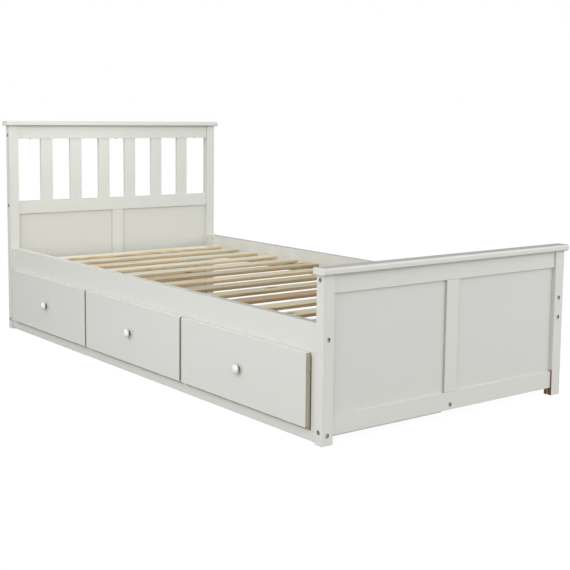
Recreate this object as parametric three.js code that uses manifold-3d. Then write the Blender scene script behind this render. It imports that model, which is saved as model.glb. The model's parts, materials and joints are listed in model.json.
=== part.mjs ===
// A single captain's bed frame: headboard, footboard, side rails, slatted base and three drawers.
// Millimetres, +Z up. X runs across the bed, drawers at -X, and Y runs from footboard to headboard.
// The numbers below are measured from the bed's middle plane in X, from the footboard's outer face
// in Y and from the floor in Z. The bed is then moved so that its origin is the bottom centre of its
// box.
import * as THREE from 'three';
import { mergeVertices } from 'three/addons/utils/BufferGeometryUtils.js';
import Module from 'manifold-3d';

const wasm = await Module();
wasm.setup();

// Overall layout
const HALF_WIDTH = 485; // half the width over the posts
const HEAD_FRONT = 1950; // the headboard's face on the mattress side
const HEAD_TOP = 828;
const FOOT_TOP = 475;
const GAP = 0.3; // air left at each glued, screwed or resting joint

// End frames: posts, cross rails, panels and caps
const POST_WIDTH = 38;
const POST_DEPTH = 29;
const POST_INNER = HALF_WIDTH - POST_WIDTH;
const CAP_THICKNESS = 19.3;
const CAP_DEPTH = 46.7;
const CAP_OVERHANG_OUT = 10.7; // beyond the posts, on the show side
const CAP_ROUNDING = 4;
const EDGE_EASING = 1.5; // chamfer around the ends of the caps and the faces of the drawer fronts
const FOOT_CAP_END = 9; // beyond the posts, at each end
const HEAD_CAP_END = 12.4;
const CROSS_RAIL_HEIGHT = 51;
const BOTTOM_RAIL = [24, 77];
const MID_RAIL_TOP = 509.6;
const FRAME_SETBACK = 5.5; // cross rails behind the posts' show faces
const FRAME_THICKNESS = 18;
const STILE_WIDTH = 50;
const PANEL_SETBACK = 13;
const PANEL_THICKNESS = 5;
const TONGUE = 6; // how far a panel or a headboard slat enters its neighbours

// Headboard slats
const HEAD_SLAT_WIDTH = 51;
const HEAD_SLAT_THICKNESS = 12;
const HEAD_SLAT_CENTRES = [-320.8, -191.4, -61.5, 61.5, 191.4, 320.8];

// Side rails and slatted base
const RAIL_THICKNESS = 23;
const RAIL_OUTER = 477.5;
const RAIL_INNER = RAIL_OUTER - RAIL_THICKNESS;
const RAIL_TOP = 325;
const RAIL_HEIGHT = 90;
const LEDGER = 18; // ledger width
const LEDGER_HEIGHT = 22;
const SLAT_COUNT = 14;
const SLAT_WIDTH = 62;
const SLAT_THICKNESS = 11;
const SLAT_PITCH = 136.6;
const SLAT_TOP = 281.5;
const SLAT_END_PLAY = 2; // between a slat's end and the side rail

// Under-bed carcass that carries the drawers
const BASE_RAIL = [2, 30.5];
const BATTEN_THICKNESS = 18;
const DIVIDER_THICKNESS = 15;
const DIVIDER_BACK = -125; // x of the dividers' back edges
const BATTEN_HALF_WIDTH = 30;
const LET_IN = 1; // how far an upright is let into its batten
const GUIDE_TOP = RAIL_TOP - RAIL_HEIGHT - GAP;
const STILE_DEPTH = 26; // upright at each end of the drawer opening, along Y
const BEAM_HALF_WIDTH = 11;
const BEAM = [24, 64];
const BEAM_FOOT_HALF_WIDTH = 20;
const BEAM_FOOT_HALF_LENGTH = 35;

// Drawers
const DRAWER_COUNT = 3;
const DRAWER_PITCH = 625.5;
const FRONT_WIDTH = 613.5;
const FRONT_THICKNESS = 18;
const FRONT = [40.6, 244.5];
const FRONT_ROUNDING = 2;
const BOX_WIDTH = 600;
const BOX_BACK = -45;
const BOX_WALL = 12;
const BOX = [31.5, 190];
const BOX_BOTTOM = [42, 46];
const BOX_GROOVE = 5;
const KNOB_LENGTH = 20;
const KNOB_FOOT_RADIUS = 7.5;
const KNOB_NECK_RADIUS = 7;
const KNOB_NECK_LENGTH = 4;
const KNOB_BALL_RADIUS = 14.5;
const KNOB_BALL_START = 0.42; // angle, in radians, that the neck hides of the ball's profile

// Bolts: the recessed holes that their heads sit in
const BOLT_HOLE_RADIUS = 6.5;
const BOLT_HOLE_DEPTH = 9;
const BARREL_HOLE_RADIUS = 5;
const BARREL_HOLE_DEPTH = 15;
const BARREL_SETBACK = 35; // from the rail's end to the barrel nut
const FOOT_CROSS_BOLTS = [36, 442];
const HEAD_CROSS_BOLTS = [37, 494, 771];
const BEAM_BOLT = 39;

// The two sides of the bed, with the heights of the bolts that hold its long rails to the posts
const SIDES = [
  { sign: -1, name: 'drawer_side', sideRailBolts: [284], baseRailBolts: [27] },
  { sign: 1, name: 'plain_side', sideRailBolts: [248, 309], baseRailBolts: [] },
];

const MIDDLE_Y = (POST_DEPTH + HEAD_FRONT) / 2;

const paint = new THREE.MeshStandardMaterial({ color: 0xe4e4df, roughness: 0.38, metalness: 0 });
const panelPaint = new THREE.MeshStandardMaterial({ color: 0xdcdcd8, roughness: 0.28, metalness: 0 });
const frontPaint = new THREE.MeshStandardMaterial({ color: 0xe0e0dc, roughness: 0.22, metalness: 0 });
const pine = new THREE.MeshStandardMaterial({ color: 0xd9c398, roughness: 0.7, metalness: 0 });
const rawBoard = new THREE.MeshStandardMaterial({ color: 0xb9a27e, roughness: 0.8, metalness: 0 });
const hardboard = new THREE.MeshStandardMaterial({ color: 0xe9e7e0, roughness: 0.6, metalness: 0 });

/** A box between two corners, given as one [low, high] pair for each axis. */
function block(x, y, z) {
  const geometry = new THREE.BoxGeometry(x[1] - x[0], y[1] - y[0], z[1] - z[0]);
  geometry.translate((x[0] + x[1]) / 2, (y[0] + y[1]) / 2, (z[0] + z[1]) / 2);
  return geometry;
}

/** A blind hole's volume: a cylinder with its mouth at `mouth`, running `depth` along the axis. */
function drill(mouth, axis, radius, depth) {
  const lead = 1; // the cylinder starts this far outside the face
  const geometry = new THREE.CylinderGeometry(radius, radius, depth + lead, 20);
  const direction = new THREE.Vector3(...axis);
  const turn = new THREE.Quaternion().setFromUnitVectors(new THREE.Vector3(0, 1, 0), direction);
  geometry.applyQuaternion(turn);
  const centre = new THREE.Vector3(...mouth).addScaledVector(direction, (depth - lead) / 2);
  geometry.translate(centre.x, centre.y, centre.z);
  return geometry;
}

function toSolid(geometry) {
  const bare = geometry.clone();
  bare.deleteAttribute('normal');
  bare.deleteAttribute('uv');
  const merged = mergeVertices(bare);
  return new wasm.Manifold(new wasm.Mesh({
    numProp: 3,
    vertProperties: new Float32Array(merged.attributes.position.array),
    triVerts: new Uint32Array(merged.index.array),
  }));
}

function toGeometry(solid) {
  const mesh = solid.getMesh();
  const geometry = new THREE.BufferGeometry();
  geometry.setAttribute('position', new THREE.BufferAttribute(new Float32Array(mesh.vertProperties), 3));
  geometry.setIndex(new THREE.BufferAttribute(new Uint32Array(mesh.triVerts), 1));
  geometry.computeVertexNormals();
  return geometry;
}

function carve(geometry, cutters) {
  const cut = (solid, cutter) => solid.subtract(toSolid(cutter));
  return toGeometry(cutters.reduce(cut, toSolid(geometry)));
}

function join(geometries) {
  return toGeometry(geometries.map(toSolid).reduce((joined, solid) => joined.add(solid)));
}

/** Adds a named mesh whose position is the middle of its shape. */
function addPiece(parent, name, geometry, material) {
  geometry.computeBoundingBox();
  const centre = geometry.boundingBox.getCenter(new THREE.Vector3());
  geometry.translate(-centre.x, -centre.y, -centre.z);
  const mesh = new THREE.Mesh(geometry, material);
  mesh.name = name;
  mesh.position.copy(centre);
  parent.add(mesh);
}

/** A rectangle with round corners, centred on the origin. */
function roundedRectangle(width, height, radius) {
  const shape = new THREE.Shape();
  const x = width / 2 - radius;
  const y = height / 2 - radius;
  shape.absarc(x, y, radius, 0, Math.PI / 2);
  shape.absarc(-x, y, radius, Math.PI / 2, Math.PI);
  shape.absarc(-x, -y, radius, Math.PI, 1.5 * Math.PI);
  shape.absarc(x, -y, radius, 1.5 * Math.PI, 2 * Math.PI);
  shape.closePath();
  return shape;
}

/** A bar along X with a round-cornered section in Y and Z and eased ends. */
function roundedBar(x, y, z, rounding) {
  const width = y[1] - y[0] - 2 * EDGE_EASING;
  const height = z[1] - z[0] - 2 * EDGE_EASING;
  const length = x[1] - x[0] - 2 * EDGE_EASING;
  const section = roundedRectangle(width, height, rounding);
  const geometry = new THREE.ExtrudeGeometry(section, {
    depth: length,
    bevelEnabled: true,
    bevelSize: EDGE_EASING,
    bevelThickness: EDGE_EASING,
    bevelSegments: 2,
    curveSegments: 4,
  });
  geometry.translate(0, 0, -length / 2);
  const sectionToBed = new THREE.Matrix4().makeBasis(
    new THREE.Vector3(0, 1, 0), new THREE.Vector3(0, 0, 1), new THREE.Vector3(1, 0, 0),
  );
  geometry.applyMatrix4(sectionToBed);
  geometry.translate((x[0] + x[1]) / 2, (y[0] + y[1]) / 2, (z[0] + z[1]) / 2);
  return geometry;
}

/** The x range of a piece that lies between `inner` and `outer` on one side of the bed. */
function sideRange(side, inner, outer) {
  return side.sign < 0 ? [-outer, -inner] : [inner, outer];
}

/** The y range between two distances from a wall, measured along `inward`, which is 1 or -1. */
function rangeFrom(wall, inward, near, far) {
  return inward > 0 ? [wall + near, wall + far] : [wall - far, wall - near];
}

/** The y ranges of one end frame's pieces. `show` is the y of the posts' face towards the foot. */
function endFrame(show) {
  const at = (near, far) => rangeFrom(show, 1, near, far);
  return {
    post: at(0, POST_DEPTH),
    cap: at(-CAP_OVERHANG_OUT, CAP_DEPTH - CAP_OVERHANG_OUT),
    rail: at(FRAME_SETBACK, FRAME_SETBACK + FRAME_THICKNESS),
    panel: at(PANEL_SETBACK, PANEL_SETBACK + PANEL_THICKNESS),
    groove: at(PANEL_SETBACK - GAP, PANEL_SETBACK + PANEL_THICKNESS + GAP),
  };
}

/** The hole for a bolt's head, sunk into the face that holds `mouth`. */
function boltHole(mouth, axis) {
  return drill(mouth, axis, BOLT_HOLE_RADIUS, BOLT_HOLE_DEPTH);
}

/**
 * Both posts of one end, with the panel groove in their inner faces. The bolts of the cross rails
 * enter from the sides and those of the long rails enter the outer face at `boltFace`.
 */
function addPosts(parent, end, frame, top, grooveTop, crossBolts, boltFace, boltAxis) {
  const middleY = (frame.post[0] + frame.post[1]) / 2;
  for (const side of SIDES) {
    const boltX = side.sign * (POST_INNER + POST_WIDTH / 2);
    const grooveX = sideRange(side, POST_INNER - 1, POST_INNER + TONGUE + GAP);
    const holes = [block(grooveX, frame.groove, [-1, grooveTop])];
    for (const z of crossBolts) {
      holes.push(boltHole([side.sign * HALF_WIDTH, middleY, z], [-side.sign, 0, 0]));
    }
    for (const z of [...side.sideRailBolts, ...side.baseRailBolts]) {
      holes.push(boltHole([boltX, boltFace, z], [0, boltAxis, 0]));
    }
    const post = block(sideRange(side, POST_INNER, HALF_WIDTH), frame.post, [0, top]);
    addPiece(parent, `${end}_post_${side.name}`, carve(post, holes), paint);
  }
}

/**
 * The two panels of one end with the stile between them. Returns the clearance around each panel,
 * which the rails above and below are grooved by.
 */
function addPanels(parent, end, frame, low, high) {
  const grooves = [];
  const halfStile = STILE_WIDTH / 2;
  for (const side of SIDES) {
    const across = sideRange(side, halfStile - TONGUE, POST_INNER + TONGUE);
    const panel = block(across, frame.panel, [low - TONGUE, high + TONGUE]);
    addPiece(parent, `${end}_panel_${side.name}`, panel, panelPaint);
    const clear = sideRange(side, halfStile - TONGUE - GAP, POST_INNER + TONGUE + GAP);
    grooves.push(block(clear, frame.groove, [low - TONGUE - GAP, high + TONGUE + GAP]));
  }
  const stile = block([-halfStile, halfStile], frame.rail, [low + GAP, high - GAP]);
  addPiece(parent, `${end}_centre_stile`, carve(stile, grooves), paint);
  return grooves;
}

function addCrossRail(parent, name, frame, z, cutters) {
  const rail = block([-POST_INNER + GAP, POST_INNER - GAP], frame.rail, z);
  addPiece(parent, name, carve(rail, cutters), paint);
}

function addCap(parent, name, frame, beyondPosts, z) {
  const end = HALF_WIDTH + beyondPosts;
  addPiece(parent, name, roundedBar([-end, end], frame.cap, z, CAP_ROUNDING), paint);
}

function footboard() {
  const group = new THREE.Group();
  const frame = endFrame(0);
  const capBottom = FOOT_TOP - CAP_THICKNESS;
  const topRail = [capBottom - CROSS_RAIL_HEIGHT, capBottom - GAP];
  addPosts(group, 'foot', frame, capBottom - GAP, capBottom, FOOT_CROSS_BOLTS, 0, 1);
  const grooves = addPanels(group, 'foot', frame, BOTTOM_RAIL[1], topRail[0]);
  const beamHole = boltHole([0, frame.rail[0], BEAM_BOLT], [0, 1, 0]);
  addCrossRail(group, 'foot_top_rail', frame, topRail, grooves);
  addCrossRail(group, 'foot_bottom_rail', frame, BOTTOM_RAIL, [...grooves, beamHole]);
  addCap(group, 'foot_cap', frame, FOOT_CAP_END, [capBottom, FOOT_TOP]);
  return group;
}

/** One slat of the headboard, or with a clearance the mortise that it sits in. */
function headSlat(centre, frame, low, high, clearance) {
  const middle = (frame.rail[0] + frame.rail[1]) / 2;
  const halfWidth = HEAD_SLAT_WIDTH / 2 + clearance;
  const halfThickness = HEAD_SLAT_THICKNESS / 2 + clearance;
  return block(
    [centre - halfWidth, centre + halfWidth],
    [middle - halfThickness, middle + halfThickness],
    [low - TONGUE - clearance, high + TONGUE + clearance],
  );
}

function headboard() {
  const group = new THREE.Group();
  const frame = endFrame(HEAD_FRONT);
  const capBottom = HEAD_TOP - CAP_THICKNESS;
  const topRail = [capBottom - CROSS_RAIL_HEIGHT, capBottom - GAP];
  const midRail = [MID_RAIL_TOP - CROSS_RAIL_HEIGHT, MID_RAIL_TOP];
  const grooveTop = midRail[0] + TONGUE + GAP;
  addPosts(group, 'head', frame, capBottom - GAP, grooveTop, HEAD_CROSS_BOLTS, frame.post[1], -1);
  const grooves = addPanels(group, 'head', frame, BOTTOM_RAIL[1], midRail[0]);
  const mortises = [];
  HEAD_SLAT_CENTRES.forEach((centre, index) => {
    const slat = headSlat(centre, frame, midRail[1], topRail[0], 0);
    addPiece(group, `head_slat_${index + 1}`, slat, paint);
    mortises.push(headSlat(centre, frame, midRail[1], topRail[0], GAP));
  });
  const beamHole = boltHole([0, frame.rail[1], BEAM_BOLT], [0, -1, 0]);
  addCrossRail(group, 'head_top_rail', frame, topRail, mortises);
  addCrossRail(group, 'head_mid_rail', frame, midRail, [...mortises, ...grooves]);
  addCrossRail(group, 'head_bottom_rail', frame, BOTTOM_RAIL, [...grooves, beamHole]);
  addCap(group, 'head_cap', frame, HEAD_CAP_END, [capBottom, HEAD_TOP]);
  return group;
}

/** The side rails with their barrel-nut holes, and the ledgers that the slats rest on. */
function sideRails() {
  const group = new THREE.Group();
  const along = [POST_DEPTH + GAP, HEAD_FRONT - GAP];
  const ledgerTop = SLAT_TOP - SLAT_THICKNESS - GAP;
  for (const side of SIDES) {
    const nutHoles = [];
    for (const y of [along[0] + BARREL_SETBACK, along[1] - BARREL_SETBACK]) {
      for (const z of side.sideRailBolts) {
        const mouth = [side.sign * RAIL_INNER, y, z];
        nutHoles.push(drill(mouth, [side.sign, 0, 0], BARREL_HOLE_RADIUS, BARREL_HOLE_DEPTH));
      }
    }
    const across = sideRange(side, RAIL_INNER, RAIL_OUTER);
    const rail = block(across, along, [RAIL_TOP - RAIL_HEIGHT, RAIL_TOP]);
    const ledgerAcross = sideRange(side, RAIL_INNER - GAP - LEDGER, RAIL_INNER - GAP);
    const ledger = block(ledgerAcross, along, [ledgerTop - LEDGER_HEIGHT, ledgerTop]);
    addPiece(group, `side_rail_${side.name}`, carve(rail, nutHoles), paint);
    addPiece(group, `slat_ledger_${side.name}`, carve(ledger, nutHoles), pine);
  }
  return group;
}

function slattedBase() {
  const group = new THREE.Group();
  const halfLength = RAIL_INNER - SLAT_END_PLAY;
  const first = MIDDLE_Y - (SLAT_PITCH * (SLAT_COUNT - 1)) / 2;
  for (let index = 0; index < SLAT_COUNT; index += 1) {
    const centre = first + SLAT_PITCH * index;
    const slat = block(
      [-halfLength, halfLength],
      [centre - SLAT_WIDTH / 2, centre + SLAT_WIDTH / 2],
      [SLAT_TOP - SLAT_THICKNESS, SLAT_TOP],
    );
    addPiece(group, `base_slat_${String(index + 1).padStart(2, '0')}`, slat, pine);
  }
  return group;
}

/**
 * A drawer guide: an upright board that keeps the drawers apart, glued on the flat batten that they
 * slide on. `upright` and `batten` are its y ranges, and extra boards can be added at the front.
 * The upright's front end stands on the base rail, and the rest of it is let into the batten.
 */
function drawerGuide(upright, batten, extras) {
  const behindRail = [-RAIL_INNER + GAP, -BEAM_HALF_WIDTH - GAP];
  const battenTop = BASE_RAIL[1];
  return join([
    block(behindRail, batten, [battenTop - BATTEN_THICKNESS, battenTop]),
    block([-RAIL_OUTER, DIVIDER_BACK], upright, [battenTop + GAP, GUIDE_TOP]),
    block([behindRail[0], DIVIDER_BACK], upright, [battenTop - LET_IN, GUIDE_TOP]),
    ...extras,
  ]);
}

function addEndGuide(parent, end, wall, inward) {
  const at = (near, far) => rangeFrom(wall, inward, near, far);
  const stileX = [-RAIL_OUTER, -RAIL_INNER];
  const stile = block(stileX, at(GAP, STILE_DEPTH), [BASE_RAIL[1] + GAP, GUIDE_TOP]);
  const upright = at(STILE_DEPTH - DIVIDER_THICKNESS, STILE_DEPTH);
  const guide = drawerGuide(upright, at(GAP, STILE_DEPTH + BATTEN_HALF_WIDTH), [stile]);
  addPiece(parent, `drawer_guide_${end}`, guide, paint);
}

/** Everything below the slats that stays still: base rail, centre beam with its foot, and guides. */
function drawerCarcass() {
  const group = new THREE.Group();
  const along = [POST_DEPTH + GAP, HEAD_FRONT - GAP];
  addPiece(group, 'base_rail', block([-RAIL_OUTER, -RAIL_INNER], along, BASE_RAIL), paint);

  const beamAlong = [FRAME_SETBACK + FRAME_THICKNESS + GAP, HEAD_FRONT + FRAME_SETBACK - GAP];
  const beam = block([-BEAM_HALF_WIDTH, BEAM_HALF_WIDTH], beamAlong, BEAM);
  addPiece(group, 'centre_beam', beam, pine);
  const beamFoot = block(
    [-BEAM_FOOT_HALF_WIDTH, BEAM_FOOT_HALF_WIDTH],
    [MIDDLE_Y - BEAM_FOOT_HALF_LENGTH, MIDDLE_Y + BEAM_FOOT_HALF_LENGTH],
    [0, BEAM[0] - GAP],
  );
  addPiece(group, 'centre_beam_foot', beamFoot, pine);

  addEndGuide(group, 'foot', POST_DEPTH, 1);
  for (const [index, offset] of [-0.5, 0.5].entries()) {
    const y = MIDDLE_Y + offset * DRAWER_PITCH;
    const upright = [y - DIVIDER_THICKNESS / 2, y + DIVIDER_THICKNESS / 2];
    const batten = [y - BATTEN_HALF_WIDTH, y + BATTEN_HALF_WIDTH];
    addPiece(group, `drawer_divider_${index + 1}`, drawerGuide(upright, batten, []), paint);
  }
  addEndGuide(group, 'head', HEAD_FRONT, -1);
  return group;
}

/** A turned knob along +Y of its own frame, from its flat foot to the middle of its domed top. */
function knobGeometry() {
  const profile = [
    new THREE.Vector2(0, 0),
    new THREE.Vector2(KNOB_FOOT_RADIUS, 0),
    new THREE.Vector2(KNOB_NECK_RADIUS, KNOB_NECK_LENGTH / 2),
  ];
  const halfDepth = (KNOB_LENGTH - KNOB_NECK_LENGTH) / 2;
  const sweep = Math.PI - KNOB_BALL_START;
  const steps = 9;
  for (let step = 1; step < steps; step += 1) {
    const angle = KNOB_BALL_START - Math.PI / 2 + (sweep * step) / steps;
    const height = KNOB_NECK_LENGTH + halfDepth * (1 + Math.sin(angle));
    profile.push(new THREE.Vector2(KNOB_BALL_RADIUS * Math.cos(angle), height));
  }
  profile.push(new THREE.Vector2(0, KNOB_LENGTH));
  return new THREE.LatheGeometry(profile, 28);
}

/** One drawer: its box, its loose bottom, its overlaid front and its knob. */
function drawer(number, centre) {
  const group = new THREE.Group();
  const boxX = [-RAIL_OUTER - GAP, BOX_BACK];
  const boxY = [centre - BOX_WIDTH / 2, centre + BOX_WIDTH / 2];
  const inside = (range, wall) => [range[0] + wall, range[1] - wall];
  const through = [BOX[0] - 1, BOX[1] + 1];
  const hollow = block(inside(boxX, BOX_WALL), inside(boxY, BOX_WALL), through);
  const grooveWall = BOX_WALL - BOX_GROOVE;
  const groove = block(
    inside(boxX, grooveWall - GAP),
    inside(boxY, grooveWall - GAP),
    [BOX_BOTTOM[0] - GAP, BOX_BOTTOM[1] + GAP],
  );
  const walls = carve(block(boxX, boxY, BOX), [hollow, groove]);
  addPiece(group, `drawer_${number}_box`, walls, rawBoard);
  const bottom = block(inside(boxX, grooveWall), inside(boxY, grooveWall), BOX_BOTTOM);
  addPiece(group, `drawer_${number}_bottom`, bottom, hardboard);

  const frontBack = boxX[0] - GAP;
  const frontFace = frontBack - FRONT_THICKNESS;
  const frontY = [centre - FRONT_WIDTH / 2, centre + FRONT_WIDTH / 2];
  const front = roundedBar([frontFace, frontBack], frontY, FRONT, FRONT_ROUNDING);
  addPiece(group, `drawer_${number}_front`, front, frontPaint);

  const knob = knobGeometry();
  knob.rotateZ(Math.PI / 2);
  knob.translate(frontFace - GAP, centre, (FRONT[0] + FRONT[1]) / 2);
  addPiece(group, `drawer_${number}_knob`, knob, paint);
  return group;
}

const bed = new THREE.Group();
bed.add(footboard(), headboard(), sideRails(), slattedBase(), drawerCarcass());
for (let index = 0; index < DRAWER_COUNT; index += 1) {
  bed.add(drawer(index + 1, MIDDLE_Y + (index - (DRAWER_COUNT - 1) / 2) * DRAWER_PITCH));
}

const box = new THREE.Box3().setFromObject(bed, true);
bed.position.set(-(box.min.x + box.max.x) / 2, -(box.min.y + box.max.y) / 2, -box.min.z);
bed.updateMatrixWorld(true);

export default bed;
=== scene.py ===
import json
import math

import bmesh
import bpy
from mathutils import Matrix, Vector


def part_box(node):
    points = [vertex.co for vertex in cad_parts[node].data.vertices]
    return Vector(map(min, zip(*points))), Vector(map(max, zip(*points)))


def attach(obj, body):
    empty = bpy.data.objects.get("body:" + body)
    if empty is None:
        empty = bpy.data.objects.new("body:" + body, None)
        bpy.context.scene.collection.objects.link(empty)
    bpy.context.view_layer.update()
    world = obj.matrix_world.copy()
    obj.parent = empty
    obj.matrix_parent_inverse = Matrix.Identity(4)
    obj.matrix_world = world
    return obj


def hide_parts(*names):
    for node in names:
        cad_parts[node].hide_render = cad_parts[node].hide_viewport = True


# The looks of a single bed frame with drawers: white painted boards, raw pine slats and steel
# connector bolts. All lengths are in metres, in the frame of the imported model.

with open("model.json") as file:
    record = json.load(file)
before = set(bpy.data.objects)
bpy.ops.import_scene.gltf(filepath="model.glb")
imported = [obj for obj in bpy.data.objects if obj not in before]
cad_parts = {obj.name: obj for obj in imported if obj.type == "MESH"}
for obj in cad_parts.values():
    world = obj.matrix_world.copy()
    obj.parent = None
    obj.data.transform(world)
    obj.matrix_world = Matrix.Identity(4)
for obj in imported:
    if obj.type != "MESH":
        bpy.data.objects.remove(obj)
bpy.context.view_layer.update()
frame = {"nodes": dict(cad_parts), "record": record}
NODES = frame["nodes"]
DRAWERS = ("drawer_1", "drawer_2", "drawer_3")

# Camera: where it stands, and the heading, pitch and roll that it looks with
CAMERA_PLACE = Vector((-2.2857, -3.1666, 0.8732))
CAMERA_HEADING = math.radians(37.658)
CAMERA_PITCH = math.radians(-6.430)
CAMERA_ROLL = math.radians(0.632)
CAMERA_LENS = 70.0
CAMERA_SENSOR = 36
CAMERA_SHIFT = -0.0836

# Studio light: the room's brightness all round, what each direction adds to it, and the softboxes
ROOM_GLOW = 0.285
ROOM_SIDES = (((-1, 0, 0), 0.87), ((0, -1, 0), 1.36))
SOFTBOXES = (
    ("key", (-2.5, 0.6, 2.0), (-0.5, 0.0, 0.2), 0.5, 10.0),
    ("left_low", (-2.3, -0.7, 1.0), (-0.5, -0.6, 0.2), 1.5, 10.0),
    ("left_foot", (-3.0, -2.6, 1.6), (-0.4, -0.7, 0.2), 1.2, 6.5),
    ("right_near", (1.5, -2.5, 0.9), (0.45, -1.0, 0.35), 0.9, 6.5),
    ("over_slats", (-0.3, 0.85, 2.0), (0.05, 0.6, 0.28), 1.2, 5.0),
)
SOFTBOX_COLOUR = (0.96, 0.985, 1.0)
FLOOR_GREY = (0.42, 0.42, 0.42, 1)
FLOOR_GLOW = 1.12
FLOOR_GLOW_SHARE = 0.86

# Fasteners: heights of the bolts above the floor, and sizes
FOOT_CROSS_BOLTS = (0.036, 0.442)
HEAD_CROSS_BOLTS = (0.037, 0.494, 0.771)
SIDE_BOLTS = {"drawer_side": (0.284, 0.027), "plain_side": (0.248, 0.309)}
NUT_HEIGHTS = {"drawer_side": (0.284,), "plain_side": (0.248, 0.309)}
BEAM_BOLT = 0.039
BOLT_HOLE_DEPTH = 0.009
BOLT_HOLE_RADIUS = 0.0065
BOLT_HEAD_RADIUS = 0.0058
BOLT_HEAD_HEIGHT = 0.0018
BOLT_SUNK = 0.0028
BOLT_SOCKET = 0.0027
BOLT_SOCKET_DEPTH = 0.0038
NUT_HOLE_DEPTH = 0.015
NUT_RADIUS = 0.0047
NUT_SUNK = 0.0025
NUT_SLOT = (0.0036, 0.0007)
NUT_SLOT_DEPTH = 0.0013
NUT_SETBACK = 0.035

# Screws: where they stand in a drawer box's front wall, and the radii of their heads
FRONT_SCREW_REACH = 0.21
FRONT_SCREW_LOW = 0.045
FRONT_SCREW_HIGH = 0.028
FRONT_SCREW_RADIUS = 0.0040
KNOB_SCREW_RADIUS = 0.0048
CAP_SCREW_RADIUS = 0.0044
CAP_SCREW_SPACING = 0.389

# Drawer boxes: the four boards of each
WALL = 0.012
BOTTOM_GROOVE = 0.005
GROOVE_PLAY = 0.0003

# Knobs: the foot and the neck, the angle of the ball that the neck hides, and the depth of the
# ball's dark brown back, which is partly bare wood and partly painted shade
KNOB_FOOT_RADIUS = 0.0075
KNOB_NECK_RADIUS = 0.0070
KNOB_NECK_LENGTH = 0.004
KNOB_BALL_START = 0.42
KNOB_WOOD_AND_SHADOW_DEPTH = 0.009

# How far the boards' edges are rounded
POST_EASING = 0.0014
BOARD_EASING = 0.0010
PANEL_EASING = 0.0005
SLAT_EASING = 0.0018
FRONT_EASING = 0.0005
WALL_EASING = 0.0007
BOTTOM_EASING = 0.0004
CAP_ROUNDING = 0.0052
CAP_EASING = 0.0015

# Finishes: the height of the posts' bare feet, how far a front's paint wraps round its face, and
# which slats, counted from the footboard, differ in tone, the darker ones partly as painted shade
RAW_HEIGHT = 0.085
FRONT_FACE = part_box("drawer_1_front")[0].x
PAINT_WRAP = 0.0014
BROWN_SLAT = 5
LAST_DULL_AND_SHADED_SLAT = 9

# Colours of paint and bare wood
WHITE = (0.662, 0.665, 0.622, 1)
PANEL_WHITE = (0.640, 0.645, 0.610, 1)
FRONT_WHITE = (0.650, 0.655, 0.617, 1)
KNOB_WHITE = (0.74, 0.74, 0.725, 1)
RUBBED_WHITE = (0.60, 0.585, 0.54, 1)
WORN_WHITE = (0.66, 0.645, 0.60, 1)
CHIPPED_WHITE = (0.50, 0.42, 0.31, 1)
RAW_WOOD = (0.25, 0.155, 0.07, 1)
RAW_WOOD_DARK = (0.12, 0.065, 0.03, 1)
KNOT = (0.20, 0.095, 0.04, 1)
FIBRE_BROWN = (0.36, 0.22, 0.11, 1)
WORN_PINE = (0.80, 0.72, 0.57, 1)
RAW_LAYERS = (0.43, 0.41, 0.30, 1)
RAW_LAYERS_DARK = (0.33, 0.316, 0.235, 1)

# The paint's roughness, the strength of its brush marks, and its clear coat
SATIN = 0.36
PANEL_SATIN = 0.31
GLOSS = 0.20
BRUSHED = 0.5
PAINT_COAT = 0.8

# Sides of a turned piece's outline: bolts, then barrel nuts and screws, then knobs
TURNED_SEGMENTS = 48
SCREW_SEGMENTS = 72
KNOB_SEGMENTS = 64


# ---------------------------------------------------------------- shapes

def add_object(name, mesh):
    obj = bpy.data.objects.new(name, mesh)
    bpy.context.scene.collection.objects.link(obj)
    return obj


def finish_mesh(bm, name):
    bmesh.ops.recalc_face_normals(bm, faces=bm.faces)
    mesh = bpy.data.meshes.new(name)
    bm.to_mesh(mesh)
    bm.free()
    mesh.shade_smooth()
    return add_object(name, mesh)


# An outline gives the distance from the axis at each angle round it.

def circle(radius):
    return lambda angle: radius


def hexagon(half_width):
    return lambda angle: half_width / math.cos((angle + math.pi / 6) % (math.pi / 3) - math.pi / 6)


def slot(half_length, half_width):
    def edge(angle):
        across = abs(math.sin(angle))
        along = abs(math.cos(angle))
        return min(half_width / max(across, 1e-6), half_length / max(along, 1e-6))
    return edge


def cross(half_length, half_width):
    blade = slot(half_length, half_width)
    return lambda angle: max(blade(angle), blade(angle + math.pi / 2))


def turned(name, loops, place, axis, segments=TURNED_SEGMENTS):
    """A closed body around `axis`, which starts at `place`. A loop is an outline and its height."""
    bm = bmesh.new()
    rings = []
    for outline, height in loops:
        ring = []
        for step in range(segments):
            angle = 2 * math.pi * step / segments
            radius = outline(angle)
            ring.append(bm.verts.new((radius * math.cos(angle), radius * math.sin(angle), height)))
        rings.append(ring)
    for low, high in zip(rings, rings[1:]):
        for step in range(segments):
            after = (step + 1) % segments
            bm.faces.new((low[step], low[after], high[after], high[step]))
    bm.faces.new(reversed(rings[0]))
    bm.faces.new(rings[-1])
    turn = Vector((0, 0, 1)).rotation_difference(Vector(axis)).to_matrix().to_4x4()
    bm.transform(Matrix.Translation(place) @ turn)
    return finish_mesh(bm, name)


def box_mesh(low, high):
    bm = bmesh.new()
    bmesh.ops.create_cube(bm, size=1)
    size = high - low
    bm.transform(Matrix.Translation((low + high) / 2) @ Matrix.Diagonal((*size, 1)))
    return bm


def extruded(name, outline, axis, start, end):
    """A bar along X or Y. The outline's points are (sideways, height) in the other two axes."""
    bm = bmesh.new()
    rings = []
    for along in (start, end):
        if axis == "X":
            rings.append([bm.verts.new((along, across, up)) for across, up in outline])
        else:
            rings.append([bm.verts.new((across, along, up)) for across, up in outline])
    count = len(outline)
    for step in range(count):
        after = (step + 1) % count
        bm.faces.new((rings[0][step], rings[0][after], rings[1][after], rings[1][step]))
    bm.faces.new(rings[0])
    bm.faces.new(rings[1])
    return finish_mesh(bm, name)


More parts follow.
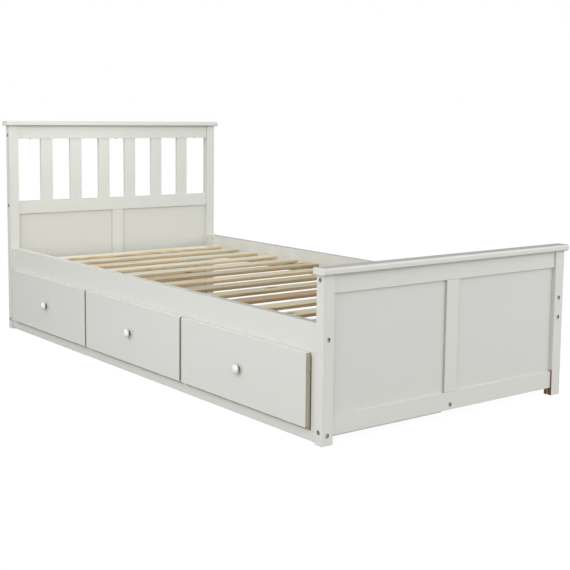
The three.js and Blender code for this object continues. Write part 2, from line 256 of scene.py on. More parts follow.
def ease_edges(obj, width, segments=2, angle=35):
    """Rounds an object's sharp edges by modifiers, so that they catch the light."""
    bevel = obj.modifiers.new("eased_edges", "BEVEL")
    bevel.width = width
    bevel.segments = segments
    bevel.limit_method = "ANGLE"
    bevel.angle_limit = math.radians(angle)
    shading = obj.modifiers.new("even_shading", "WEIGHTED_NORMAL")
    shading.keep_sharp = True


def clean_cad_mesh(obj):
    """Joins a CAD node's loose triangles into whole faces by modifiers; its mesh stays as it is."""
    stored = obj.data.attributes.get("custom_normal")
    if stored:
        obj.data.attributes.remove(stored)
    for name in ("sharp_edge", "sharp_face"):
        flags = obj.data.attributes.get(name)
        if flags:
            obj.data.attributes.remove(flags)
    obj.data.shade_smooth()
    weld = obj.modifiers.new("welded", "WELD")
    weld.merge_threshold = 1e-5
    planar = obj.modifiers.new("whole_faces", "DECIMATE")
    planar.decimate_type = "DISSOLVE"
    planar.angle_limit = math.radians(0.6)


# ---------------------------------------------------------------- materials

class Surface:
    """A material's node tree, with short calls for adding nodes. Inputs are sockets or values."""

    def __init__(self, name, roughness, metallic=0.0):
        self.material = bpy.data.materials.new(name)
        self.material.use_nodes = True
        self.tree = self.material.node_tree
        self.shader = self.tree.nodes["Principled BSDF"]
        self.shader.inputs["Roughness"].default_value = roughness
        self.shader.inputs["Metallic"].default_value = metallic
        self.place = self.add("ShaderNodeTexCoord").outputs["Object"]

    def add(self, kind, inputs=(), **settings):
        node = self.tree.nodes.new(kind)
        for key, value in settings.items():
            setattr(node, key, value)
        for key, value in dict(inputs).items():
            self.feed(node.inputs[key], value)
        return node

    def feed(self, socket, value):
        if isinstance(value, bpy.types.NodeSocket):
            self.tree.links.new(value, socket)
        else:
            socket.default_value = value

    def math(self, operation, first, second=0.0, third=0.0):
        inputs = {0: first, 1: second, 2: third}
        return self.add("ShaderNodeMath", inputs, operation=operation).outputs[0]

    def scaled(self, factors, vector=None):
        inputs = {0: vector or self.place, 1: factors}
        return self.add("ShaderNodeVectorMath", inputs, operation="MULTIPLY").outputs[0]

    def moved(self, vector, offset):
        return self.add("ShaderNodeVectorMath", {0: vector, 1: offset}, operation="ADD").outputs[0]

    def noise(self, vector, scale=1.0, detail=2.0, roughness=0.5):
        inputs = {"Vector": vector, "Scale": scale, "Detail": detail, "Roughness": roughness}
        return self.add("ShaderNodeTexNoise", inputs).outputs["Fac"]

    def remap(self, value, low, high, new_low=0.0, new_high=1.0):
        inputs = {0: value, 1: low, 2: high, 3: new_low, 4: new_high}
        return self.add("ShaderNodeMapRange", inputs, interpolation_type="SMOOTHSTEP").outputs[0]

    def mix(self, factor, first, second, blend="MIX"):
        node = self.add("ShaderNodeMix", data_type="RGBA", blend_type=blend)
        self.feed(node.inputs[0], factor)
        self.feed(node.inputs[6], first)
        self.feed(node.inputs[7], second)
        return node.outputs[2]

    def bump(self, height, distance, strength=1.0):
        """Adds a height on top of whatever bump the shader has already."""
        node = self.add("ShaderNodeBump", {"Height": height, "Distance": distance})
        node.inputs["Strength"].default_value = strength
        normal = self.shader.inputs["Normal"]
        if normal.is_linked:
            self.tree.links.new(normal.links[0].from_socket, node.inputs["Normal"])
        self.tree.links.new(node.outputs[0], normal)

    def per_piece(self, spread):
        """A vector that differs from piece to piece, for moving a pattern along."""
        chance = self.add("ShaderNodeObjectInfo").outputs["Random"]
        one = self.math("MULTIPLY", chance, spread)
        two = self.math("MULTIPLY", chance, spread * 7.31)
        three = self.math("MULTIPLY", chance, spread * 3.17)
        return self.add("ShaderNodeCombineXYZ", {0: one, 1: two, 2: three}).outputs[0]

    def facing(self, direction, low=0.75, high=0.9):
        """1 where the surface faces along `direction`, 0 where it faces away or sideways."""
        normal = self.add("ShaderNodeNewGeometry").outputs["Normal"]
        dot = self.add("ShaderNodeVectorMath", {0: normal, 1: direction}, operation="DOT_PRODUCT")
        return self.remap(dot.outputs["Value"], low, high)

    def edge(self, radius):
        """1 on edges that are rounder than `radius` can follow, 0 on flat faces."""
        soft = self.add("ShaderNodeBevel", {"Radius": radius}, samples=6).outputs[0]
        hard = self.add("ShaderNodeNewGeometry").outputs["Normal"]
        dot = self.add("ShaderNodeVectorMath", {0: soft, 1: hard}, operation="DOT_PRODUCT")
        return self.remap(dot.outputs["Value"], 0.985, 0.80)

    def coat(self, roughness):
        """A clear coat over the paint."""
        self.shader.inputs["Coat Weight"].default_value = PAINT_COAT
        self.shader.inputs["Coat Roughness"].default_value = roughness

    def finish(self, colour):
        self.feed(self.shader.inputs["Base Color"], colour)
        return self.material


def along_grain(axis, along, across):
    """Scale factors for a pattern that is stretched along one axis."""
    return tuple(along if name == axis else across for name in "XYZ")


def wood_colour(surface, axis, early, late, rings=26.0):
    """Growth rings, fibres and knots of sawn softwood. Returns the colour and the grain's height."""
    start = surface.moved(surface.place, surface.per_piece(11.0))
    field = surface.noise(surface.scaled(along_grain(axis, 0.9, 15.0), start), detail=1.5)

    cells = surface.add("ShaderNodeTexVoronoi", {
        "Vector": surface.scaled(along_grain(axis, 3.4, 10.0), start), "Scale": 1.0,
    })
    near_knot = surface.remap(cells.outputs["Distance"], 0.24, 0.04)
    in_knot = surface.remap(cells.outputs["Distance"], 0.105, 0.07)
    rough_edge = surface.noise(start, scale=160.0)
    in_knot = surface.math("MULTIPLY", in_knot, surface.remap(rough_edge, 0.25, 0.55))

    bent = surface.math("MULTIPLY_ADD", near_knot, 0.11, field)
    turns = surface.math("MULTIPLY", bent, rings)
    wave = surface.math("FRACT", turns)
    late_wood = surface.remap(wave, 0.35, 0.95)
    fibre = surface.noise(surface.scaled(along_grain(axis, 6.0, 420.0), start), detail=3.0)
    streak = surface.noise(surface.scaled(along_grain(axis, 1.6, 34.0), start), detail=2.0)

    ring_depth = surface.math("MULTIPLY", late_wood, surface.remap(streak, 0.3, 0.75, 0.25, 0.95))
    colour = surface.mix(ring_depth, early, late)
    darker = surface.mix(0.5, late, FIBRE_BROWN)
    colour = surface.mix(surface.remap(fibre, 0.52, 0.80, 0.0, 0.45), colour, darker)
    tone = surface.add("ShaderNodeObjectInfo").outputs["Random"]
    shade = surface.remap(tone, 0.0, 1.0, 0.80, 1.08)
    grey = surface.add("ShaderNodeCombineXYZ", {0: shade, 1: shade, 2: shade}).outputs[0]
    colour = surface.mix(1.0, colour, grey, "MULTIPLY")
    colour = surface.mix(surface.math("MULTIPLY", near_knot, 0.35), colour, late)
    colour = surface.mix(in_knot, colour, KNOT)
    height = surface.math("MULTIPLY_ADD", fibre, 0.5, surface.math("MULTIPLY", late_wood, 0.5))
    return colour, height


def sawn_pine(name, axis, early, late, rings=26.0):
    surface = Surface(name, 0.62)
    colour, height = wood_colour(surface, axis, early, late, rings)
    return finish_pine(surface, colour, height)


def slat_pine(name, top, top_late, side, side_late, heartwood):
    """Planed pine with paler wide faces and browner edges, partly the wood's own tone and partly
    painted sheen on the wide faces and painted shade on the edges, with streaks of heartwood.
    """
    surface = Surface(name, 0.62)
    face, height = wood_colour(surface, "X", (*top, 1), (*top_late, 1))
    edge = wood_colour(surface, "X", (*side, 1), (*side_late, 1))[0]
    start = surface.moved(surface.place, surface.per_piece(9.0))
    streak = surface.noise(surface.scaled(along_grain("X", 2.4, 9.0), start), detail=1.0)
    streak = surface.remap(streak, 0.54, 0.66, heartwood, 0.6)
    face = surface.mix(streak, face, edge)
    # Wide faces paler and edges browner: partly the wood, partly painted sheen and painted shade
    wide = surface.math("MAXIMUM", surface.facing((0, 0, 1)), surface.facing((0, 0, -1)))
    return finish_pine(surface, surface.mix(wide, edge, face), height)


def finish_pine(surface, colour, height):
    """Bare pine's grain in relief, its paler worn edges and its uneven sheen."""
    surface.bump(height, 0.00025, 0.7)
    worn = surface.math("MULTIPLY", surface.edge(0.0015), 0.25)
    colour = surface.mix(worn, colour, WORN_PINE)
    grease = surface.noise(surface.place, scale=7.0, detail=3.0)
    surface.feed(surface.shader.inputs["Roughness"], surface.remap(grease, 0.3, 0.7, 0.52, 0.72))
    return surface.finish(colour)


def painted(name, axis, colour, roughness, grain, raw_faces=(), thin_paint_and_shade_faces=(), thin_paint_and_shade=0.3):
    """
    Satin paint over wood. Faces along `raw_faces` were left unpainted near the floor, and faces
    along
    the next directions are browned: partly thin paint that the wood tints, partly painted shade.
    """
    surface = Surface(name, roughness)
    start = surface.moved(surface.place, surface.per_piece(5.0))
    cloud = surface.noise(start, scale=9.0, detail=9.0, roughness=0.8)
    brush = surface.noise(surface.scaled(along_grain(axis, 5.0, 190.0), start), detail=3.0)
    stipple = surface.noise(start, scale=900.0, detail=1.0)

    light = tuple(min(1.0, channel * 1.012) for channel in colour[:3]) + (1,)
    dim = (colour[0] * 0.965, colour[1] * 0.962, colour[2] * 0.950, 1)
    tint = surface.mix(surface.remap(cloud, 0.2, 0.8, 0.42, 0.58), dim, light)
    tint = surface.mix(surface.remap(brush, 0.55, 0.85, 0.0, 0.28), tint, dim)

    edge = surface.edge(0.0012)
    nicks = surface.remap(surface.noise(start, scale=55.0, detail=4.0), 0.56, 0.68)
    worn = surface.math("MULTIPLY", edge, 0.10)
    chipped = surface.math("MULTIPLY", surface.math("MULTIPLY", edge, nicks), 0.14)
    tint = surface.mix(worn, tint, WORN_WHITE)
    tint = surface.mix(chipped, tint, CHIPPED_WHITE)

    fibre = surface.noise(surface.scaled(along_grain(axis, 9.0, 300.0), start), detail=3.0)
    bare = surface.mix(surface.remap(fibre, 0.3, 0.75), RAW_WOOD, RAW_WOOD_DARK)
    # Browning of these faces: partly thin paint, partly painted shade in reveals and under rounded
    # edges
    for direction in thin_paint_and_shade_faces:
        mask = surface.math("MULTIPLY", surface.facing(direction, 0.35, 0.8), thin_paint_and_shade)
        tint = surface.mix(mask, tint, bare)
    for direction in raw_faces:
        height = surface.add("ShaderNodeSeparateXYZ", {0: surface.place}).outputs["Z"]
        ragged = surface.math("MULTIPLY_ADD", brush, 0.012, height)
        low_down = surface.remap(ragged, RAW_HEIGHT + 0.004, RAW_HEIGHT)
        mask = surface.math("MULTIPLY", surface.facing(direction), low_down)
        tint = surface.mix(mask, tint, bare)

    surface.bump(brush, 0.00016, grain)
    surface.bump(stipple, 0.00003, 0.35)
    gloss = surface.remap(cloud, 0.2, 0.8, roughness - 0.015, roughness + 0.015)
    surface.feed(surface.shader.inputs["Roughness"], gloss)
    surface.coat(0.18)
    return surface.finish(tint)


def board_front(name, colour, roughness):
    """A drawer front: gloss paint on its face and top edge, and the board's raw layers elsewhere."""
    surface = Surface(name, roughness)
    start = surface.moved(surface.place, surface.per_piece(5.0))
    cloud = surface.noise(start, scale=9.0, detail=9.0, roughness=0.8)
    orange_peel = surface.noise(start, scale=260.0, detail=2.0)
    wave = surface.noise(start, scale=9.0, detail=1.0)
    dim = (colour[0] * 0.965, colour[1] * 0.965, colour[2] * 0.955, 1)
    tint = surface.mix(surface.remap(cloud, 0.2, 0.8, 0.5, 0.7), dim, colour)
    rubbed = surface.math("MULTIPLY", surface.edge(0.0014), 0.10)
    tint = surface.mix(rubbed, tint, RUBBED_WHITE)

    layers = surface.noise(surface.scaled((430.0, 7.0, 7.0), start), detail=2.0)
    bare = surface.mix(surface.remap(layers, 0.35, 0.65), RAW_LAYERS, RAW_LAYERS_DARK)
    behind = surface.add("ShaderNodeSeparateXYZ", {0: surface.place}).outputs["X"]
    unpainted = surface.remap(behind, FRONT_FACE + PAINT_WRAP, FRONT_FACE + PAINT_WRAP + 0.0004)
    for direction in ((0, 1, 0), (0, -1, 0), (0, 0, -1)):
        bare_side = surface.math("MULTIPLY", surface.facing(direction), unpainted)
        tint = surface.mix(bare_side, tint, bare)
    surface.bump(wave, 0.0006, 0.25)
    surface.bump(orange_peel, 0.00003, 0.5)
    gloss = surface.remap(cloud, 0.2, 0.8, roughness, roughness + 0.03)
    surface.feed(surface.shader.inputs["Roughness"], gloss)
    surface.coat(0.10)
    return surface.finish(tint)


def hardboard(name):
    """White-faced hardboard: a smooth face with fine specks, brown below and on its edges."""
    surface = Surface(name, 0.48)
    fleck = surface.noise(surface.place, scale=420.0, detail=3.0)
    cloud = surface.noise(surface.place, scale=4.0, detail=2.0)
    face = surface.mix(surface.remap(cloud, 0.3, 0.7), (0.72, 0.71, 0.67, 1), (0.78, 0.77, 0.74, 1))
    face = surface.mix(surface.remap(fleck, 0.62, 0.72, 0.0, 0.3), face, (0.50, 0.44, 0.35, 1))
    fibre = surface.noise(surface.place, scale=260.0, detail=4.0)
    back = surface.mix(surface.remap(fibre, 0.35, 0.7), (0.30, 0.19, 0.11, 1), (0.20, 0.12, 0.07, 1))
    surface.bump(fleck, 0.00005, 0.5)
    return surface.finish(surface.mix(surface.facing((0, 0, 1)), back, face))


def steel(name, colour, roughness):
    surface = Surface(name, roughness, metallic=1.0)
    scratch = surface.noise(surface.scaled((900.0, 900.0, 240.0)), detail=3.0)
    cloud = surface.noise(surface.place, scale=140.0, detail=2.0)
    dull = tuple(channel * 0.62 for channel in colour[:3]) + (1,)
    tint = surface.mix(surface.remap(cloud, 0.45, 0.75), colour, dull)
    surface.bump(scratch, 0.00002, 0.4)
    gloss = surface.remap(scratch, 0.3, 0.7, roughness, roughness + 0.14)
    surface.feed(surface.shader.inputs["Roughness"], gloss)
    return surface.finish(tint)


# The way that each post's inner face looks
INNER_FACING = {"drawer_side": (1, 0, 0), "plain_side": (-1, 0, 0)}

PAINT = {axis: painted(f"satin_paint_{axis}", axis, WHITE, SATIN, BRUSHED) for axis in "XYZ"}
PANEL_PAINT = painted("panel_paint", "Z", PANEL_WHITE, PANEL_SATIN, 0.15)
# The foot posts' inner faces are browned a little: partly thin paint, partly painted shade in the
# reveals beside the panels
POST_PAINT = {
    side: painted(f"post_paint_{side}", "Z", WHITE, SATIN, BRUSHED, [inner], [inner], 0.16)
    for side, inner in INNER_FACING.items()
}
HEAD_POST_PAINT = {
    side: painted(f"head_post_paint_{side}", "Z", WHITE, SATIN, BRUSHED, [inner])
    for side, inner in INNER_FACING.items()
}
# The stile's side faces are browned as painted shade in the reveals beside the panels
STILE_PAINT = painted("stile_paint", "Z", WHITE, SATIN, BRUSHED, (), INNER_FACING.values(), 0.45)
# The cap's underside is browned as painted shade under its rounded edge
CAP_PAINT = painted("cap_paint", "X", WHITE, SATIN, BRUSHED, (), [(0, 0, -1)], 0.5)
FRONT_PAINT = board_front("drawer_front_paint", FRONT_WHITE, GLOSS)
SLAT_PINE = {
    "pale": slat_pine("pale_slat", (0.82, 0.82, 0.69), (0.74, 0.68, 0.51),
                      (0.78, 0.60, 0.36), (0.52, 0.34, 0.16), 0.0),
    "dull": slat_pine("dull_and_shaded_slat", (0.64, 0.61, 0.46), (0.56, 0.49, 0.32),
                      (0.50, 0.35, 0.18), (0.30, 0.18, 0.08), 0.15),
    "brown": slat_pine("brown_slat", (0.62, 0.50, 0.34), (0.53, 0.36, 0.20),
                       (0.50, 0.33, 0.17), (0.32, 0.19, 0.09), 0.5),
}
LEDGER_PINE = sawn_pine("ledger_pine", "Y", (0.66, 0.50, 0.31, 1), (0.50, 0.32, 0.16, 1))
BOX_BOARD = {
    axis: sawn_pine(f"box_board_{axis}", axis, (0.56, 0.44, 0.29, 1), (0.43, 0.30, 0.17, 1), 40.0)
    for axis in "XY"
}
HARDBOARD = hardboard("white_hardboard")
KNOB_PAINT = painted("knob_paint", "X", KNOB_WHITE, GLOSS, 0.05)
# Dark brown for the knob's back: partly bare wood and partly painted shade
KNOB_WOOD_AND_SHADOW = sawn_pine("knob_wood_and_painted_shadow", "X", (0.24, 0.15, 0.08, 1), (0.15, 0.09, 0.045, 1))
BOLT_STEEL = steel("bolt_steel", (0.74, 0.73, 0.71, 1), 0.16)
# Very dark brown for the bolt holes' linings: bare wood darkened as painted shade in the hollows
BORE_WOOD_AND_SHADE = sawn_pine("bore_wood_and_painted_shade", "X", (0.17, 0.105, 0.06, 1), (0.10, 0.06, 0.035, 1))
DARK_STEEL = steel("dark_steel", (0.10, 0.085, 0.075, 1), 0.38)


# ---------------------------------------------------------------- the bed's boards

def dress(node, material, easing):
    """Gives a CAD node its finish and rounds its edges."""
    obj = NODES[node]
    clean_cad_mesh(obj)
    obj.data.materials.clear()
    obj.data.materials.append(material)
    ease_edges(obj, easing)


def longest_axis(node):
    low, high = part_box(node)
    size = high - low
    return "XYZ"[max(range(3), key=lambda index: size[index])]


def slat_tone(node):
    """Slats further from the footboard are paler, the darker ones near it partly painted shade of
    the footboard, and one is browner than the rest.
    """
    number = int(node[-2:])
    if number == BROWN_SLAT:
        return "brown"
    return "dull" if number <= LAST_DULL_AND_SHADED_SLAT else "pale"


def dress_frame():
    """Dresses every node of the frame but the two caps, which are made anew."""
    for node in frame["record"]["behaviour"]["bodies"]["frame"]:
        if "_post_" in node:
            paint = POST_PAINT if node.startswith("foot") else HEAD_POST_PAINT
            side = "drawer_side" if node.endswith("drawer_side") else "plain_side"
            dress(node, paint[side], POST_EASING)
        elif node == "foot_centre_stile":
            dress(node, STILE_PAINT, BOARD_EASING)
        elif "_panel_" in node:
            dress(node, PANEL_PAINT, PANEL_EASING)
        elif node.startswith("base_slat"):
            dress(node, SLAT_PINE[slat_tone(node)], SLAT_EASING)
        elif node.startswith(("slat_ledger", "centre_beam")):
            dress(node, LEDGER_PINE, BOARD_EASING)
        elif not node.endswith("_cap"):
            dress(node, PAINT[longest_axis(node)], BOARD_EASING)


def cap_rail(node):
    """A cap with its long edges rounded over, in place of the faceted one."""
    low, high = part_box(node)
    bm = box_mesh(low, high)
    half_length = (high.x - low.x) / 2
    long_edges = [
        edge for edge in bm.edges if abs(edge.verts[0].co.x - edge.verts[1].co.x) > half_length
    ]
    bmesh.ops.bevel(bm, geom=long_edges, offset=CAP_ROUNDING, segments=7, profile=0.5,
                    affect="EDGES")
    cap = finish_mesh(bm, node + "_rail")
    ease_edges(cap, CAP_EASING, segments=3, angle=40)
    cap.data.materials.append(CAP_PAINT)
    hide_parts(node)
    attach(cap, "frame")


# ---------------------------------------------------------------- drawers

def drawer_wall(name, drawer, axis, ends, faces, heights, inward):
    """One board of a drawer box, with a groove for the bottom in the face that looks `inward`."""
    bottom_low, bottom_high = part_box(drawer + "_bottom")
    low, high = bottom_low.z - GROOVE_PLAY, bottom_high.z + GROOVE_PLAY
    inner = faces[1] if inward > 0 else faces[0]
    outer = faces[0] if inward > 0 else faces[1]
    groove = inner - inward * (BOTTOM_GROOVE + GROOVE_PLAY)
    outline = [
        (outer, heights[0]), (inner, heights[0]), (inner, low), (groove, low),
        (groove, high), (inner, high), (inner, heights[1]), (outer, heights[1]),
    ]
    board = extruded(name, outline, axis, *ends)
    ease_edges(board, WALL_EASING)
    board.data.materials.append(BOX_BOARD[axis])
    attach(board, drawer)
    return board


def drawer_box(drawer):
    """The four walls of a drawer's box, which stand in for its single CAD solid."""
    low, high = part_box(drawer + "_box")
    heights = (low.z, high.z)
    near = drawer_wall(drawer + "_side_foot", drawer, "X", (low.x, high.x),
                       (low.y, low.y + WALL), heights, 1)
    drawer_wall(drawer + "_side_head", drawer, "X", (low.x, high.x),
                (high.y - WALL, high.y), heights, -1)
    between = (low.y + WALL, high.y - WALL)
    drawer_wall(drawer + "_box_front", drawer, "Y", between, (low.x, low.x + WALL), heights, 1)
    drawer_wall(drawer + "_box_back", drawer, "Y", between, (high.x - WALL, high.x), heights, -1)
    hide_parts(drawer + "_box")


def knob(drawer):
    """A turned knob with a narrow neck and a flattened ball, whose back is dark brown: partly bare
    wood and partly painted shade.
    """
    low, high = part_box(drawer + "_knob")
    length = high.x - low.x
    ball = (high.y - low.y) / 2
    half_depth = (length - KNOB_NECK_LENGTH) / 2
    loops = [
        (circle(KNOB_FOOT_RADIUS), 0.0), (circle(KNOB_FOOT_RADIUS + 0.0001), 0.0008),
        (circle(KNOB_NECK_RADIUS), KNOB_NECK_LENGTH / 2),
    ]
    steps = 26
    for step in range(1, steps):
        angle = KNOB_BALL_START - math.pi / 2 + (math.pi - KNOB_BALL_START) * step / steps
        height = KNOB_NECK_LENGTH + half_depth * (1 + math.sin(angle))
        loops.append((circle(ball * math.cos(angle)), height))
    loops.append((circle(0.0004), length))
    place = Vector((high.x, (low.y + high.y) / 2, (low.z + high.z) / 2))
    piece = turned(drawer + "_turned_knob", loops, place, (-1, 0, 0), segments=KNOB_SEGMENTS)
    piece.data.materials.append(KNOB_PAINT)
    piece.data.materials.append(KNOB_WOOD_AND_SHADOW)
    # The back of the ball is dark brown: partly bare wood and partly painted shade
    for face in piece.data.polygons:
        face.material_index = 1 if face.center.x > high.x - KNOB_WOOD_AND_SHADOW_DEPTH else 0
    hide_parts(drawer + "_knob")
    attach(piece, drawer)


def drawer_screws(drawer):
    """The screws that hold the front to the box, seen from inside, and the knob's screw."""
    low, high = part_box(drawer + "_box")
    knob_low, knob_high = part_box(drawer + "_knob")
    middle = (low.y + high.y) / 2
    inner = low.x + WALL
    inwards = (1, 0, 0)
    heights = (low.z + FRONT_SCREW_LOW, high.z - FRONT_SCREW_HIGH)
    places = [
        (middle + side * FRONT_SCREW_REACH, height) for side in (-1, 1) for height in heights
    ]
    for number, (y, z) in enumerate(places, start=1):
        name = f"{drawer}_front_screw_{number}"
        screw_head(name, Vector((inner, y, z)), inwards, FRONT_SCREW_RADIUS, drawer)
    knob_place = Vector((inner, middle, (knob_low.z + knob_high.z) / 2))
    screw_head(drawer + "_knob_screw", knob_place, inwards, KNOB_SCREW_RADIUS, drawer)


# ---------------------------------------------------------------- fasteners

def bolt(name, mouth, inward):
    """A connector bolt's dished head with a hexagonal socket, sunk in its hole, whose lining is very
    dark brown: bare wood, darkened further as painted shade in the hollow.
    """
    mouth = Vector(mouth)
    outward = -Vector(inward)
    foot = mouth - outward * (BOLT_HOLE_DEPTH - 0.0002)
    top = BOLT_HOLE_DEPTH - BOLT_SUNK
    seat = top - BOLT_HEAD_HEIGHT
    lip = BOLT_HOLE_DEPTH - 0.0006
    bore = BOLT_HOLE_RADIUS - 0.0001
    lining = [
        (circle(bore - 0.0003), 0.0), (circle(bore), 0.0003), (circle(bore), lip),
        (circle(bore - 0.0003), lip), (circle(bore - 0.0003), seat),
    ]
    rim = BOLT_HEAD_RADIUS
    head = [
        (circle(rim), seat), (circle(rim), top - 0.0007), (circle(rim - 0.0003), top - 0.0002),
        (circle(rim - 0.0009), top), (circle(rim - 0.0018), top - 0.0003),
        (hexagon(BOLT_SOCKET + 0.0002), top - 0.0004), (hexagon(BOLT_SOCKET), top - 0.0007),
        (hexagon(BOLT_SOCKET), top - BOLT_SOCKET_DEPTH),
        (circle(0.0008), top - BOLT_SOCKET_DEPTH - 0.0008),
    ]
    piece = turned(name, lining + head, foot, outward)
    keep_sharp(piece)
    piece.data.materials.append(BOLT_STEEL)
    piece.data.materials.append(BORE_WOOD_AND_SHADE)
    # The lining is a sheet in the hole, coloured as bare wood and painted shade
    lined = TURNED_SEGMENTS * (len(lining) - 1)
    for face in piece.data.polygons:
        face.material_index = 1 if face.index < lined else 0
    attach(piece, "frame")


def keep_sharp(piece):
    """Keeps the flat and round faces of a small turned piece apart in its shading."""
    piece.data.set_sharp_from_angle(angle=math.radians(38))


def barrel_nut(name, mouth, inward):
    """A barrel nut's slotted end, a little way down its hole."""
    mouth = Vector(mouth)
    outward = -Vector(inward)
    foot = mouth - outward * (NUT_HOLE_DEPTH - 0.0003)
    height = NUT_HOLE_DEPTH - NUT_SUNK
    blade = slot(*NUT_SLOT)
    loops = [
        (circle(NUT_RADIUS), 0.0), (circle(NUT_RADIUS), height - 0.0005),
        (circle(NUT_RADIUS - 0.0005), height), (blade, height), (blade, height - NUT_SLOT_DEPTH),
    ]
    piece = turned(name, loops, foot, outward, segments=SCREW_SEGMENTS)
    keep_sharp(piece)
    piece.data.materials.append(BOLT_STEEL)
    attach(piece, "frame")


def screw_head(name, place, outward, radius, body, material=BOLT_STEEL):
    """A domed screw head with a cross recess, seated on a face."""
    recess = cross(radius * 0.55, radius * 0.11)
    loops = [(circle(radius), 0.0001), (circle(radius), 0.0005)]
    dome = radius * 0.42
    for step in range(1, 6):
        angle = math.pi / 2 * step / 7
        loops.append((circle(radius * math.cos(angle)), 0.0005 + dome * math.sin(angle)))
    top = 0.0005 + dome * 0.93
    loops.append((recess, top))
    loops.append((recess, top - radius * 0.3))
    piece = turned(name, loops, place, outward, segments=SCREW_SEGMENTS)
    keep_sharp(piece)
    piece.data.materials.append(material)
    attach(piece, body)


def post_bolts(end, heights, face, inward):
    """The bolts of both posts at one end: through their sides, and in at the outer face."""
    for side, sign in (("drawer_side", -1), ("plain_side", 1)):
        low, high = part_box(f"{end}_post_{side}")
        outer_x = low.x if sign < 0 else high.x
        middle_x = (low.x + high.x) / 2
        middle_y = (low.y + high.y) / 2
        for number, z in enumerate(heights, start=1):
            bolt(f"{end}_{side}_cross_bolt_{number}", (outer_x, middle_y, z), (-sign, 0, 0))
        for number, z in enumerate(SIDE_BOLTS[side], start=1):
            bolt(f"{end}_{side}_rail_bolt_{number}", (middle_x, face, z), (0, inward, 0))


def rail_nuts():
    """The barrel nuts that the side rails' bolts screw into, seen in the rails' inner faces."""
    for side, sign in (("drawer_side", -1), ("plain_side", 1)):
        low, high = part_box("side_rail_" + side)
        inner_x = high.x if sign < 0 else low.x
        for end, y in (("foot", low.y + NUT_SETBACK), ("head", high.y - NUT_SETBACK)):
            for number, z in enumerate(NUT_HEIGHTS[side], start=1):
                barrel_nut(f"{end}_{side}_nut_{number}", (inner_x, y, z), (sign, 0, 0))


def cap_screws():
    """Three screws under the headboard's top rail, whose dark heads stand out below it."""
    low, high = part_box("head_top_rail")
    middle = (low + high) / 2
    for number, step in enumerate((-1, 0, 1), start=1):
        name = f"head_cap_screw_{number}"
        place = Vector((middle.x + step * CAP_SCREW_SPACING, middle.y, low.z))
        screw_head(name, place, (0, 0, -1), CAP_SCREW_RADIUS, "frame", DARK_STEEL)


def fasteners():
    foot_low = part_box("foot_post_drawer_side")[0]
    head_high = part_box("head_post_drawer_side")[1]
    post_bolts("foot", FOOT_CROSS_BOLTS, foot_low.y, 1)
    post_bolts("head", HEAD_CROSS_BOLTS, head_high.y, -1)
    rail_low, rail_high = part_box("foot_bottom_rail")
    centre = (rail_low.x + rail_high.x) / 2
    bolt("foot_beam_bolt", (centre, rail_low.y, BEAM_BOLT), (0, 1, 0))
    bolt("head_beam_bolt", (centre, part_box("head_bottom_rail")[1].y, BEAM_BOLT), (0, -1, 0))
    rail_nuts()
    cap_screws()


# ---------------------------------------------------------------- stage

def camera():
    data = bpy.data.cameras.new("camera")
    data.lens = CAMERA_LENS
    data.sensor_width = CAMERA_SENSOR
    data.shift_y = CAMERA_SHIFT
    heading, pitch, roll = CAMERA_HEADING, CAMERA_PITCH, CAMERA_ROLL
    forward = Vector((math.sin(heading) * math.cos(pitch), math.cos(heading) * math.cos(pitch),
                      math.sin(pitch)))
    level = Vector((math.cos(heading), -math.sin(heading), 0))
    upright = level.cross(forward)
    right = level * math.cos(roll) + upright * math.sin(roll)
    up = upright * math.cos(roll) - level * math.sin(roll)
    obj = bpy.data.objects.new("camera", data)
    turn = Matrix((right, up, -forward)).transposed().to_4x4()
    obj.matrix_world = Matrix.Translation(CAMERA_PLACE) @ turn
    bpy.context.scene.collection.objects.link(obj)
    bpy.context.scene.camera = obj


def softbox(name, place, target, size, power):
    data = bpy.data.lights.new(name, "AREA")
    data.shape = "SQUARE"
    data.size = size
    data.energy = power
    data.color = SOFTBOX_COLOUR
    obj = bpy.data.objects.new(name, data)
    obj.location = place
    obj.rotation_euler = (Vector(target) - Vector(place)).to_track_quat("-Z", "Y").to_euler()
    bpy.context.scene.collection.objects.link(obj)


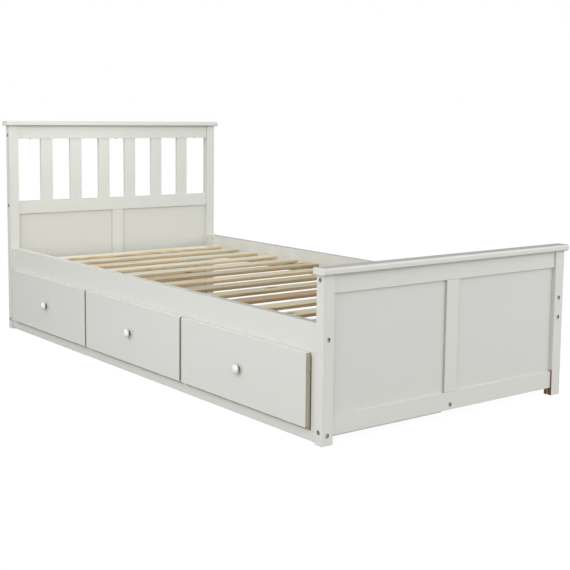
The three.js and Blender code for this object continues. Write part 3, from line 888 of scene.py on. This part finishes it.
def floor():
    """Pale paper under the bed, which the camera sees as white."""
    mesh = bpy.data.meshes.new("floor")
    bm = bmesh.new()
    bmesh.ops.create_grid(bm, x_segments=1, y_segments=1, size=30)
    bm.to_mesh(mesh)
    bm.free()
    obj = add_object("floor", mesh)
    material = bpy.data.materials.new("floor_paper")
    material.use_nodes = True
    tree = material.node_tree
    shader = tree.nodes["Principled BSDF"]
    shader.inputs["Base Color"].default_value = FLOOR_GREY
    shader.inputs["Roughness"].default_value = 0.9
    shader.inputs["Specular IOR Level"].default_value = 0.0
    glow = tree.nodes.new("ShaderNodeEmission")
    glow.inputs["Strength"].default_value = FLOOR_GLOW
    blend = tree.nodes.new("ShaderNodeMixShader")
    seen = tree.nodes.new("ShaderNodeLightPath")
    share = tree.nodes.new("ShaderNodeMath")
    share.operation = "MULTIPLY"
    share.inputs[1].default_value = FLOOR_GLOW_SHARE
    tree.links.new(seen.outputs["Is Camera Ray"], share.inputs[0])
    tree.links.new(share.outputs[0], blend.inputs[0])
    tree.links.new(shader.outputs[0], blend.inputs[1])
    tree.links.new(glow.outputs[0], blend.inputs[2])
    tree.links.new(blend.outputs[0], tree.nodes["Material Output"].inputs["Surface"])
    mesh.materials.append(material)


def studio():
    """A room whose walls differ in brightness, seen as white behind the bed, and softboxes."""
    world = bpy.data.worlds.new("studio")
    world.use_nodes = True
    tree = world.node_tree

    def calculated(operation, first, second, third=0.0):
        node = tree.nodes.new("ShaderNodeMath")
        node.operation = operation
        for socket, value in zip(node.inputs, (first, second, third)):
            if isinstance(value, bpy.types.NodeSocket):
                tree.links.new(value, socket)
            else:
                socket.default_value = value
        return node.outputs[0]

    direction = tree.nodes.new("ShaderNodeTexCoord").outputs["Generated"]
    level = ROOM_GLOW
    for towards, share in ROOM_SIDES:
        dot = tree.nodes.new("ShaderNodeVectorMath")
        dot.operation = "DOT_PRODUCT"
        dot.inputs[1].default_value = towards
        tree.links.new(direction, dot.inputs[0])
        part = calculated("MAXIMUM", dot.outputs["Value"], 0.0)
        level = calculated("MULTIPLY_ADD", part, share, level)
    seen = tree.nodes.new("ShaderNodeLightPath").outputs["Is Camera Ray"]
    level = calculated("MAXIMUM", level, seen)
    tree.links.new(level, tree.nodes["Background"].inputs["Strength"])
    tree.nodes["Background"].inputs["Color"].default_value = (1, 1, 1, 1)
    bpy.context.scene.world = world
    bpy.context.scene.view_settings.view_transform = "Standard"
    for light in SOFTBOXES:
        softbox(*light)


camera()
floor()
studio()
dress_frame()
cap_rail("foot_cap")
cap_rail("head_cap")
for drawer in DRAWERS:
    dress(drawer + "_front", FRONT_PAINT, FRONT_EASING)
    dress(drawer + "_bottom", HARDBOARD, BOTTOM_EASING)
    drawer_box(drawer)
    knob(drawer)
    drawer_screws(drawer)
fasteners()
